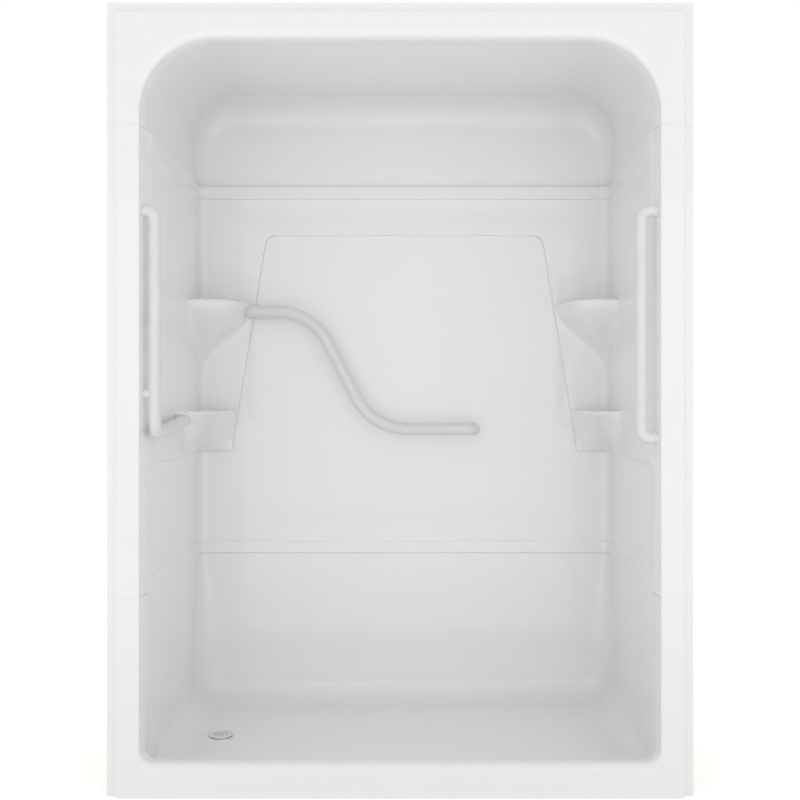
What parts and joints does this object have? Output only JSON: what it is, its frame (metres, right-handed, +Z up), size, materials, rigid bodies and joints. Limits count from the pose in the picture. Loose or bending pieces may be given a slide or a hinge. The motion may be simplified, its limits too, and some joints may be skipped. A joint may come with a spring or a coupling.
{
  "type": "framed shower enclosure",
  "caption": "White sectional acrylic alcove shower with a moulded front frame, low threshold, corner shelves, tubular grab bars and a floor drain.",
  "frame": {"origin": "middle of the footprint, on the floor", "axes": "+X to the right as seen from the entry, +Y from the front frame to the back wall, +Z up"},
  "size_m": [1.524, 0.813, 2.062],
  "materials": {
    "white_acrylic": "glossy white cast acrylic sheet, vacuum formed, on a glass-fibre backing",
    "white_coated_tube": "satin white coating on steel tube",
    "grey_foam_tape": "grey closed-cell foam",
    "plywood": "bare plywood",
    "zinc_plated_steel": "bright zinc plating",
    "chrome_plate": "polished chrome plating",
    "black_rubber": "matt moulded rubber",
    "white_pvc": "moulded white PVC",
    "rigid_foam": "matt rigid foam"
  },
  "bodies": {
    "enclosure": {"back_bar": "white_coated_tube", "back_bar_left_bolt": "zinc_plated_steel", "back_bar_left_washer": "zinc_plated_steel", "back_bar_right_bolt": "zinc_plated_steel", "back_bar_right_washer": "zinc_plated_steel", "back_batten_left": "plywood", "back_batten_middle": "plywood", "back_batten_right": "plywood", "back_board_left": "plywood", "back_board_right": "plywood", "base_pan": "white_acrylic", "drain_body": "chrome_plate", "drain_friction_washer": "white_pvc", "drain_locknut": "white_pvc", "drain_pipe_gasket": "black_rubber", "drain_seal": "black_rubber", "front_left_pad": "rigid_foam", "front_middle_pad": "rigid_foam", "front_right_pad": "rigid_foam", "left_bar_post_bolt": "zinc_plated_steel", "left_bar_post_washer": "zinc_plated_steel", "left_bar_rear_bolt": "zinc_plated_steel", "left_bar_rear_washer": "zinc_plated_steel", "left_bar_top_bolt": "zinc_plated_steel", "left_bar_top_washer": "zinc_plated_steel", "left_entry_bar": "white_coated_tube", "left_entry_bar_post": "white_coated_tube", "left_jamb_board": "plywood", "left_rear_board": "plywood", "lower_seam_tape": "grey_foam_tape", "rear_left_pad": "rigid_foam", "rear_middle_pad": "rigid_foam", "rear_right_pad": "rigid_foam", "right_bar_bottom_bolt": "zinc_plated_steel", "right_bar_bottom_washer": "zinc_plated_steel", "right_bar_top_bolt": "zinc_plated_steel", "right_bar_top_washer": "zinc_plated_steel", "right_entry_bar": "white_coated_tube", "right_jamb_board": "plywood", "roof_batten_left": "plywood", "roof_batten_right": "plywood", "roof_dome": "white_acrylic", "upper_seam_tape": "grey_foam_tape", "wall_surround": "white_acrylic"},
    "strainer": {"drain_strainer": "chrome_plate"}
  },
  "joints": [
    {"name": "strainer_lift", "type": "slide", "parent": "enclosure", "child": "strainer", "axis": [0, 0, 1], "range_m": [0, 0.05]}
  ]
}
